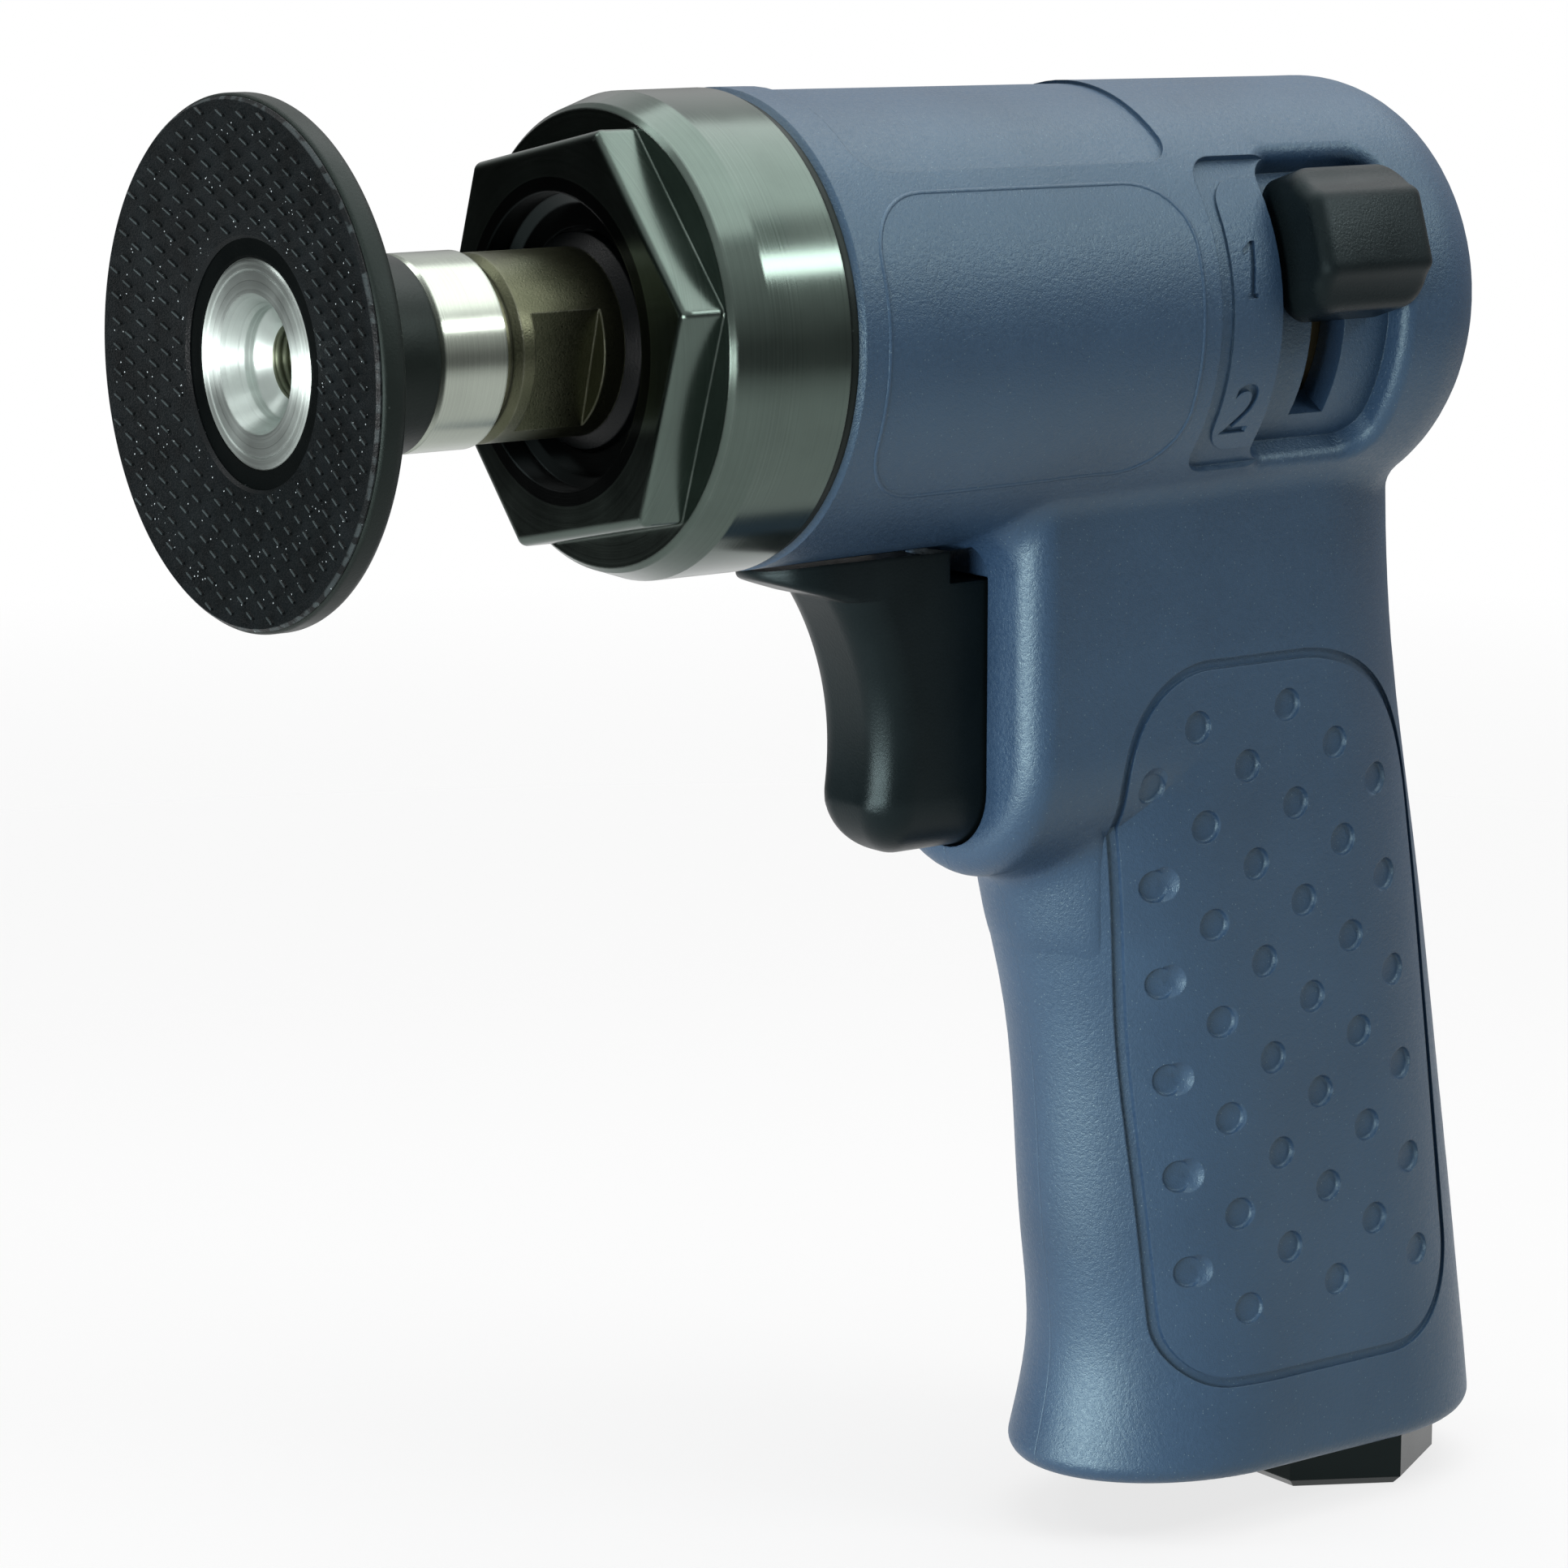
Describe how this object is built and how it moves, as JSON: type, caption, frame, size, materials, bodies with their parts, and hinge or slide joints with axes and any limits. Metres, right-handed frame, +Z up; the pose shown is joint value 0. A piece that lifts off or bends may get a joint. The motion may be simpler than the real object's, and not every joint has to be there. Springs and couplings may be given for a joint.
{
  "type": "air sander",
  "caption": "Pistol-grip air sander with a round rubber backing pad on its spindle, a hexagon nose nut, a sliding trigger, a selector knob and a threaded air inlet under the grip.",
  "frame": {"origin": "centre of the gripping face of the backing pad, on the spindle axis", "axes": "+X along the spindle from the pad face to the back of the barrel, +Z up, away from the grip, -Y on the side with the selector knob"},
  "size_m": [0.1609, 0.0544, 0.1621],
  "materials": {
    "pad_rubber": "matt moulded rubber",
    "pad_facing": "textured grip facing",
    "turned_aluminium": "turned, bright",
    "bright_steel": "satin turned",
    "phosphate_steel": "dark phosphate",
    "black_oxide": "black oxide, turned",
    "housing_composite": "fine moulded grain",
    "trigger_plastic": "fine moulded grain",
    "knob_plastic": "fine moulded grain",
    "cover_plastic": "moulded",
    "seal_rubber": "moulded rubber",
    "motor_iron": "honed",
    "ground_steel": "ground",
    "bearing_steel": "polished",
    "valve_brass": "turned",
    "vane_laminate": "phenolic laminate",
    "muffler_felt": "pressed felt"
  },
  "bodies": {
    "housing": {"clamp_nut": "black_oxide", "dust_seal": "seal_rubber", "exhaust_cover": "cover_plastic", "front_bearing_outer": "bearing_steel", "front_end_plate": "motor_iron", "housing": "housing_composite", "inlet_bushing": "black_oxide", "inlet_screen": "valve_brass", "inlet_seal": "seal_rubber", "motor_cylinder": "motor_iron", "motor_dowel": "ground_steel", "muffler": "muffler_felt", "nose_gasket": "seal_rubber", "preload_washer": "ground_steel", "rear_bearing_outer": "bearing_steel", "rear_end_plate": "motor_iron", "throttle_bushing": "valve_brass", "throttle_spring": "ground_steel"},
    "spindle": {"pad_facing": "pad_facing", "backing_pad": "pad_rubber", "pad_hub": "turned_aluminium", "pad_ring": "bright_steel", "spindle": "phosphate_steel", "rotor": "ground_steel", "vane_1": "vane_laminate", "vane_2": "vane_laminate", "vane_3": "vane_laminate", "vane_4": "vane_laminate", "vane_5": "vane_laminate", "front_bearing_inner": "bearing_steel", "rear_bearing_inner": "bearing_steel"},
    "front_balls": {"front_bearing_balls": "bearing_steel"},
    "rear_balls": {"rear_bearing_balls": "bearing_steel"},
    "trigger": {"trigger": "trigger_plastic", "trigger_rod": "ground_steel", "throttle_valve": "valve_brass"},
    "selector": {"selector_knob": "knob_plastic", "selector_valve": "valve_brass", "selector_o_ring": "seal_rubber"}
  },
  "joints": [
    {"name": "spindle_spin", "type": "hinge", "parent": "housing", "child": "spindle", "pos_m": [0, 0, 0], "axis": [1, 0, 0], "continuous": true},
    {"name": "front_balls_roll", "type": "hinge", "parent": "housing", "child": "front_balls", "pos_m": [0, 0, 0], "axis": [1, 0, 0], "continuous": true},
    {"name": "rear_balls_roll", "type": "hinge", "parent": "housing", "child": "rear_balls", "pos_m": [0, 0, 0], "axis": [1, 0, 0], "continuous": true},
    {"name": "trigger_pull", "type": "slide", "parent": "housing", "child": "trigger", "axis": [1, 0, 0], "range_m": [0, 0.0045], "stiffness_N_per_m": 1200, "springref_m": -0.004, "deforming": ["throttle_spring"]},
    {"name": "selector_turn", "type": "hinge", "parent": "housing", "child": "selector", "pos_m": [0, 0, 0], "axis": [1, 0, 0], "range_deg": [0, 40]}
  ],
  "couplings": [
    {"joint": "front_balls_roll", "follows": "spindle_spin", "ratio": 0.36667},
    {"joint": "rear_balls_roll", "follows": "spindle_spin", "ratio": 0.36667}
  ]
}
